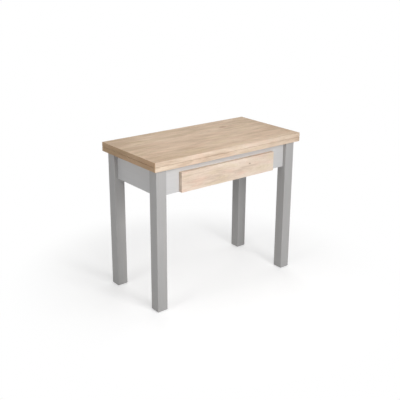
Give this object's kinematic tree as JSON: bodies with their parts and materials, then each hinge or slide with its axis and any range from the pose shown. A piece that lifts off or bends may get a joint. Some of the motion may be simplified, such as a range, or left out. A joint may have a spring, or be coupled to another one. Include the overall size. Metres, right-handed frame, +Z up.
{
  "type": "extending kitchen table",
  "caption": "Kitchen table with a doubled top that swivels a quarter turn and unfolds to twice the depth, square legs, aprons and a front drawer on roller runners.",
  "frame": {"origin": "floor level, under the middle of the closed table top", "axes": "+X along the table's length to the right of a person who faces the drawer, +Y from the drawer side to the back, +Z up"},
  "size_m": [0.9, 0.4535, 0.75],
  "materials": {
    "leaf_foil": "matt laminated board with a pale oak grain along X",
    "leaf_edge": "edge band with the same pale oak grain",
    "leg_foil": "matt foil in light warm grey",
    "apron_foil": "matt foil in light grey",
    "inner_board": "white laminated board",
    "hardboard": "thin fibreboard, white on top",
    "beech": "raw beech dowels",
    "zinc_steel": "zinc-plated steel",
    "runner_steel": "sheet steel with a white powder coat",
    "nylon": "natural nylon",
    "foot_plastic": "dark grey moulded plastic",
    "buffer_plastic": "clear soft plastic"
  },
  "bodies": {
    "frame": {"leg_front_left": "leg_foil", "leg_front_right": "leg_foil", "leg_back_left": "leg_foil", "leg_back_right": "leg_foil", "apron_front": "apron_foil", "apron_back": "apron_foil", "apron_left": "apron_foil", "apron_right": "apron_foil", "corner_brackets": "zinc_steel", "leg_bolts": "zinc_steel", "leg_washers": "zinc_steel", "leg_nuts": "zinc_steel", "bracket_screws": "zinc_steel", "apron_dowels": "beech", "foot_glides": "foot_plastic", "top_glides": "nylon", "runner_rail_left": "inner_board", "runner_rail_right": "inner_board", "swivel_board": "inner_board", "rail_dowels": "beech", "runner_fixed_left": "runner_steel", "runner_fixed_right": "runner_steel", "runner_fixed_screws": "zinc_steel", "front_roller_axles": "zinc_steel", "swivel_bush": "nylon"},
    "top": {"swivel_plate": "zinc_steel", "swivel_plate_screws": "zinc_steel", "swivel_stud": "zinc_steel", "swivel_washer": "zinc_steel", "swivel_spring": "zinc_steel", "swivel_nut": "zinc_steel", "swivel_stop": "nylon", "lower_leaf": "leaf_foil", "lower_leaf_edging": "leaf_edge", "leaf_buffers": "buffer_plastic", "hinge_left_lower": "zinc_steel", "hinge_right_lower": "zinc_steel", "hinge_screws_lower": "zinc_steel", "hinge_pins": "zinc_steel"},
    "flap": {"upper_leaf": "leaf_foil", "upper_leaf_edging": "leaf_edge", "hinge_left_upper": "zinc_steel", "hinge_right_upper": "zinc_steel", "hinge_screws_upper": "zinc_steel"},
    "drawer": {"drawer_front": "leaf_foil", "drawer_side_left": "inner_board", "drawer_side_right": "inner_board", "drawer_back": "inner_board", "drawer_bottom": "hardboard", "drawer_dowels": "beech", "drawer_screws": "zinc_steel", "drawer_bottom_screws": "zinc_steel", "runner_moving_left": "runner_steel", "runner_moving_right": "runner_steel", "runner_moving_screws": "zinc_steel", "rear_roller_axles": "zinc_steel"},
    "front_roller_left": {"front_roller_left": "nylon"},
    "front_roller_right": {"front_roller_right": "nylon"},
    "rear_roller_left": {"rear_roller_left": "nylon"},
    "rear_roller_right": {"rear_roller_right": "nylon"}
  },
  "joints": [
    {"name": "top_swivel", "type": "hinge", "parent": "frame", "child": "top", "pos_m": [0.1125, 0.1125, 0.702], "axis": [0, 0, 1], "range_deg": [0, 90]},
    {"name": "leaf_fold", "type": "hinge", "parent": "top", "child": "flap", "pos_m": [0, 0.2255, 0.7275], "axis": [-1, 0, 0], "range_deg": [0, 180]},
    {"name": "drawer_slide", "type": "slide", "parent": "frame", "child": "drawer", "axis": [0, -1, 0], "range_m": [0, 0.225]},
    {"name": "front_roller_left_spin", "type": "hinge", "parent": "frame", "child": "front_roller_left", "pos_m": [-0.257, -0.1565, 0.606], "axis": [1, 0, 0], "continuous": true},
    {"name": "front_roller_right_spin", "type": "hinge", "parent": "frame", "child": "front_roller_right", "pos_m": [0.257, -0.1565, 0.606], "axis": [1, 0, 0], "continuous": true},
    {"name": "rear_roller_left_spin", "type": "hinge", "parent": "drawer", "child": "rear_roller_left", "pos_m": [-0.2555, 0.104, 0.60505], "axis": [1, 0, 0], "continuous": true},
    {"name": "rear_roller_right_spin", "type": "hinge", "parent": "drawer", "child": "rear_roller_right", "pos_m": [0.2555, 0.104, 0.60505], "axis": [1, 0, 0], "continuous": true}
  ],
  "couplings": [
    {"joint": "front_roller_left_spin", "follows": "drawer_slide", "rad_per_m": 105.26},
    {"joint": "front_roller_right_spin", "follows": "drawer_slide", "rad_per_m": 105.26},
    {"joint": "rear_roller_left_spin", "follows": "drawer_slide", "rad_per_m": 111.11},
    {"joint": "rear_roller_right_spin", "follows": "drawer_slide", "rad_per_m": 111.11}
  ]
}
